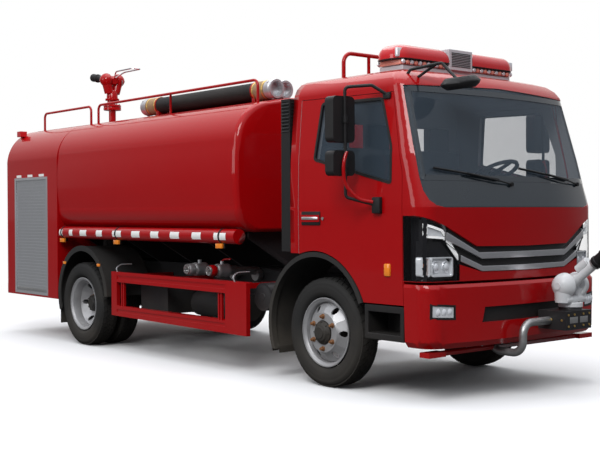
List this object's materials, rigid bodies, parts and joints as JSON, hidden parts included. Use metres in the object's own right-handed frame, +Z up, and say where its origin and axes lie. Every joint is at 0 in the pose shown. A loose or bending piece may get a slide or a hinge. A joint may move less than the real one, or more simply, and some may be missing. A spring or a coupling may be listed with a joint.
{
  "type": "water tank fire truck",
  "caption": "Two-axle cab-over truck with a rounded water tank, a rear pump box with roller shutters, roof and bumper water monitors, roof hoses, rails and a light bar.",
  "frame": {"origin": "centre of the bounding box's bottom face, on the ground under the truck", "axes": "-Y points forward out of the cab's nose, +X to the truck's left side, +Z up"},
  "size_m": [2.77, 7.8228, 3.3244],
  "materials": {
    "red_paint": "glossy red paint",
    "chassis_paint": "semi-gloss black paint",
    "engine_iron": "rough cast iron",
    "bright_trim": "bright plated trim",
    "black_plastic": "matt black plastic",
    "gloss_black": "gloss black panel",
    "mudguard_rubber": "matt black rubber",
    "clear_glass": "clear, slightly green",
    "lamp_lens": "clear lens over bright reflectors",
    "red_lens": "translucent red lens",
    "speaker_grey": "pale grey housing",
    "cab_trim": "grey trim and seat cloth",
    "shutter_aluminium": "satin aluminium slats",
    "hose_rubber": "black corrugated hose",
    "pipe_steel": "worn steel pipe and fittings",
    "tyre": "black tyre rubber with road dust",
    "rim_silver": "silver paint with rust at the nuts",
    "monitor_grey": "grey-white paint",
    "monitor_red": "red paint, black nozzle"
  },
  "bodies": {
    "truck": {"chassis_frame": "chassis_paint", "engine_block": "engine_iron", "front_axle": "chassis_paint", "rear_axle": "chassis_paint", "cab_shell": "red_paint", "front_panel": "red_paint", "grille_screen": "black_plastic", "grille_bars": "bright_trim", "front_lamps": "lamp_lens", "bumper_grille": "black_plastic", "cab_glass": "clear_glass", "cowl_panel": "gloss_black", "front_bumper": "red_paint", "cab_steps": "red_paint", "cab_interior": "cab_trim", "light_bar_base": "speaker_grey", "light_bar_lenses": "red_lens", "front_view_mirror": "black_plastic", "snorkel": "black_plastic", "water_tank": "red_paint", "pump_body": "red_paint", "roller_shutters": "shutter_aluminium", "side_tubes": "red_paint", "underrun_guard_right": "red_paint", "underrun_guard_left": "red_paint", "rear_bar": "red_paint", "mudguards": "mudguard_rubber", "grab_rails": "red_paint", "tail_lamps": "red_lens", "suction_hoses": "hose_rubber", "pipework": "pipe_steel", "underbody_tanks": "chassis_paint", "front_monitor_bracket": "chassis_paint"},
    "knuckle_right": {"knuckle_right": "chassis_paint"},
    "knuckle_left": {"knuckle_left": "chassis_paint"},
    "front_wheel_right": {"front_tyre_right": "tyre", "front_rim_right": "rim_silver"},
    "front_wheel_left": {"front_tyre_left": "tyre", "front_rim_left": "rim_silver"},
    "rear_wheels_right": {"rear_tyres_right": "tyre", "rear_rims_right": "rim_silver"},
    "rear_wheels_left": {"rear_tyres_left": "tyre", "rear_rims_left": "rim_silver"},
    "door_right": {"door_right": "red_paint", "door_glass_right": "clear_glass", "mirror_right": "black_plastic"},
    "door_left": {"door_left": "red_paint", "door_glass_left": "clear_glass", "mirror_left": "black_plastic"},
    "manhole_lid": {"manhole_lid": "red_paint"},
    "front_monitor_turret": {"front_monitor_turret": "monitor_grey"},
    "front_monitor_barrel": {"front_monitor_barrel": "monitor_grey"},
    "roof_monitor_head": {"roof_monitor_head": "monitor_red"},
    "roof_monitor_barrel": {"roof_monitor_barrel": "monitor_red"}
  },
  "joints": [
    {"name": "steer_right", "type": "hinge", "parent": "truck", "child": "knuckle_right", "pos_m": [-0.785, -2.015, 0.465], "axis": [0, 0, 1], "range_deg": [-35, 35]},
    {"name": "steer_left", "type": "hinge", "parent": "truck", "child": "knuckle_left", "pos_m": [0.785, -2.015, 0.465], "axis": [0, 0, 1], "range_deg": [-35, 35]},
    {"name": "front_wheel_right_spin", "type": "hinge", "parent": "knuckle_right", "child": "front_wheel_right", "pos_m": [-0.926, -2.015, 0.465], "axis": [1, 0, 0], "continuous": true},
    {"name": "front_wheel_left_spin", "type": "hinge", "parent": "knuckle_left", "child": "front_wheel_left", "pos_m": [0.926, -2.015, 0.465], "axis": [1, 0, 0], "continuous": true},
    {"name": "rear_wheels_right_spin", "type": "hinge", "parent": "truck", "child": "rear_wheels_right", "pos_m": [-0.92, 1.935, 0.465], "axis": [1, 0, 0], "continuous": true},
    {"name": "rear_wheels_left_spin", "type": "hinge", "parent": "truck", "child": "rear_wheels_left", "pos_m": [0.92, 1.935, 0.465], "axis": [1, 0, 0], "continuous": true},
    {"name": "door_right_swing", "type": "hinge", "parent": "truck", "child": "door_right", "pos_m": [-1.091, -3, 1.6], "axis": [0, 0, 1], "range_deg": [0, 70]},
    {"name": "door_left_swing", "type": "hinge", "parent": "truck", "child": "door_left", "pos_m": [1.091, -3, 1.6], "axis": [0, 0, -1], "range_deg": [0, 70]},
    {"name": "manhole_lid_swing", "type": "hinge", "parent": "truck", "child": "manhole_lid", "pos_m": [0.12, 0.96, 2.68], "axis": [-1, 0, 0], "range_deg": [0, 100]},
    {"name": "front_monitor_pan", "type": "hinge", "parent": "truck", "child": "front_monitor_turret", "pos_m": [0.29, -3.56, 0.7], "axis": [0, 0, 1], "range_deg": [-60, 60]},
    {"name": "front_monitor_tilt", "type": "hinge", "parent": "front_monitor_turret", "child": "front_monitor_barrel", "pos_m": [0.29, -3.56, 0.88], "axis": [-1, 0, 0], "range_deg": [-40, 32]},
    {"name": "roof_monitor_pan", "type": "hinge", "parent": "truck", "child": "roof_monitor_head", "pos_m": [0, 3.255, 2.87], "axis": [0, 0, 1], "continuous": true},
    {"name": "roof_monitor_tilt", "type": "hinge", "parent": "roof_monitor_head", "child": "roof_monitor_barrel", "pos_m": [0, 3.255, 3.19], "axis": [1, 0, 0], "range_deg": [-15, 60]}
  ],
  "couplings": [
    {"joint": "steer_left", "follows": "steer_right", "ratio": 1}
  ]
}
